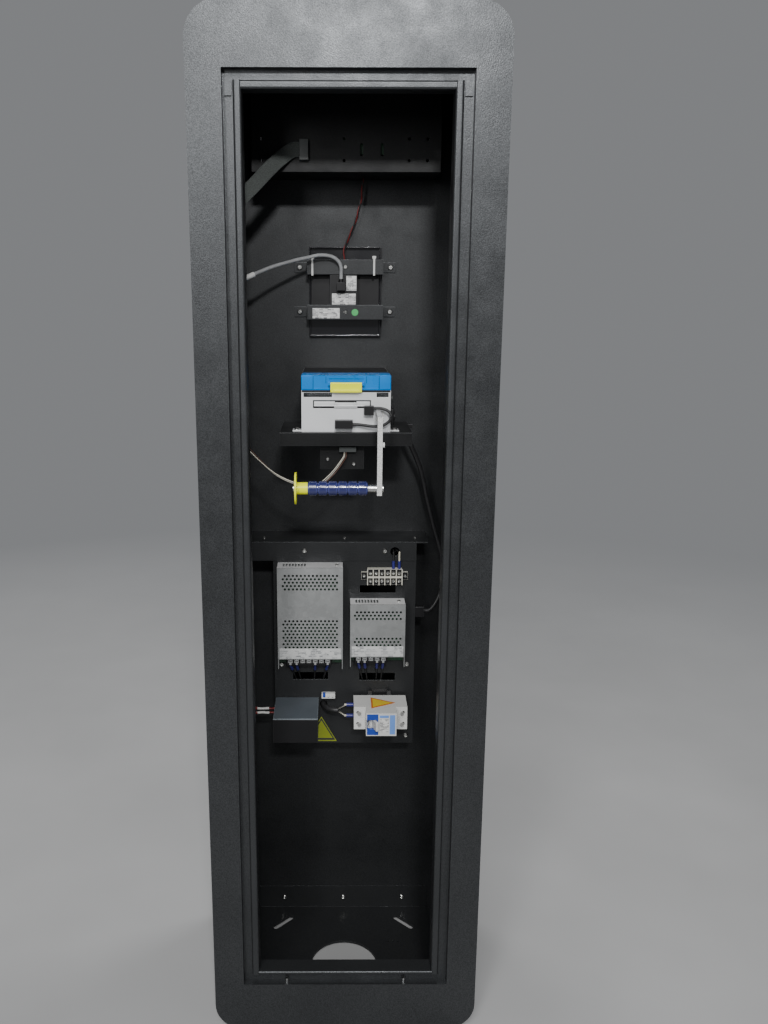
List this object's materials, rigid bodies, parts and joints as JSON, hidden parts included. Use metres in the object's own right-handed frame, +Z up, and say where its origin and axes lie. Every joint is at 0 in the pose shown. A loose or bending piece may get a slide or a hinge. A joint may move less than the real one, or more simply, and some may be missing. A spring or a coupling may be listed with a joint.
{
  "type": "parking pay station",
  "caption": "Slim floor-standing pay station seen from its open service side, with display, reader, receipt printer, paper spindle, power supplies and breaker.",
  "frame": {"origin": "on the floor, under the middle of the cabinet", "axes": "+X across the cabinet to the right as seen from the service side, +Y from the service side to the customer's side, +Z up"},
  "size_m": [0.37, 0.27, 1.35],
  "materials": {
    "charcoal_paint": "powder coat, fine orange-peel texture, satin",
    "dark_paint": "powder coat, satin",
    "black_paint": "powder coat, fine texture",
    "zinc_steel": "zinc plated sheet",
    "bright_steel": "turned steel",
    "screw_steel": "zinc plated",
    "light_steel": "light grey paint",
    "touch_glass": "black-backed glass, polished",
    "dark_window": "dark smoked plastic, polished",
    "black_plastic": "fine moulded texture",
    "white_plastic": "moulded",
    "cream_plastic": "moulded",
    "blue_cover": "moulded, glossy",
    "yellow_plastic": "moulded, glossy",
    "violet_plastic": "moulded",
    "blue_plastic": "moulded, glossy",
    "grey_plastic": "moulded",
    "label_yellow": "printed film",
    "board_green": "lacquered board",
    "screen": "panel edge",
    "black_rubber": "matt",
    "cable_grey": "cable sheath, satin",
    "cable_dark": "cable sheath, satin",
    "lead_red": "wire sheath, satin",
    "loom_grey": "woven loom sleeve",
    "wires_tan": "bundle of wires",
    "head_metal": "machined"
  },
  "bodies": {
    "cabinet": {"cabinet_shell": "charcoal_paint", "service_frame": "charcoal_paint", "door_pegs": "bright_steel", "front_panel": "charcoal_paint", "base_plate": "dark_paint", "display_housing": "black_paint", "display_panel": "screen", "touch_glass": "touch_glass", "controller_board": "board_green", "loom_socket": "grey_plastic", "reader_window": "dark_window", "reader_body": "black_plastic", "reader_bars": "black_paint", "reader_ties": "white_plastic", "reader_plug": "black_plastic", "printer_shelf": "dark_paint", "printer_body": "zinc_steel", "cover_hinge_pin": "bright_steel", "print_head": "head_metal", "paper_cutter": "zinc_steel", "printer_plugs": "black_plastic", "receipt_bezel": "black_plastic", "paper_arm": "light_steel", "spindle_shaft": "bright_steel", "sensor_bracket": "dark_paint", "sensor_connector": "cream_plastic", "cross_shelf": "dark_paint", "equipment_plate": "dark_paint", "plate_standoffs": "bright_steel", "psu_large_case": "zinc_steel", "psu_large_cover": "zinc_steel", "psu_large_board": "board_green", "psu_small_case": "zinc_steel", "psu_small_cover": "zinc_steel", "psu_small_board": "board_green", "terminal_block": "cream_plastic", "crimp_sleeves": "blue_plastic", "power_leads": "cable_dark", "din_rail": "zinc_steel", "breaker_body": "white_plastic", "breaker_insert": "blue_plastic", "filter_box": "black_plastic", "filter_lid": "grey_plastic", "filter_leads": "lead_red", "caution_labels": "label_yellow", "cable_clips": "black_plastic", "m4_screws": "screw_steel", "m3_screws": "screw_steel", "reader_cable": "cable_grey", "display_lead": "lead_red", "flat_loom": "loom_grey", "sensor_wires": "wires_tan", "printer_cable": "cable_dark", "side_cable": "cable_dark"},
    "cover": {"printer_cover": "blue_cover"},
    "latch": {"cover_latch": "yellow_plastic"},
    "platen": {"platen_roller": "black_rubber"},
    "spindle": {"spindle_core": "violet_plastic", "spindle_flange": "yellow_plastic"},
    "toggle": {"breaker_toggle": "white_plastic"}
  },
  "joints": [
    {"name": "cover_hinge", "type": "hinge", "parent": "cabinet", "child": "cover", "pos_m": [0, 0.026, 0.911], "axis": [-1, 0, 0], "range_deg": [0, 95]},
    {"name": "latch_hinge", "type": "hinge", "parent": "cover", "child": "latch", "pos_m": [0, -0.0206, 0.913], "axis": [-1, 0, 0], "range_deg": [0, 30], "stiffness_Nm_per_rad": 0.05, "springref_deg": -11.46},
    {"name": "platen_spin", "type": "hinge", "parent": "cabinet", "child": "platen", "pos_m": [0, 0.013, 0.89], "axis": [1, 0, 0], "continuous": true},
    {"name": "spindle_spin", "type": "hinge", "parent": "cabinet", "child": "spindle", "pos_m": [0, -0.078, 0.783], "axis": [1, 0, 0], "continuous": true},
    {"name": "breaker_toggle", "type": "hinge", "parent": "cabinet", "child": "toggle", "pos_m": [0.0405, 0.011, 0.409], "axis": [0, 0, 1], "range_deg": [-40, 0]}
  ]
}
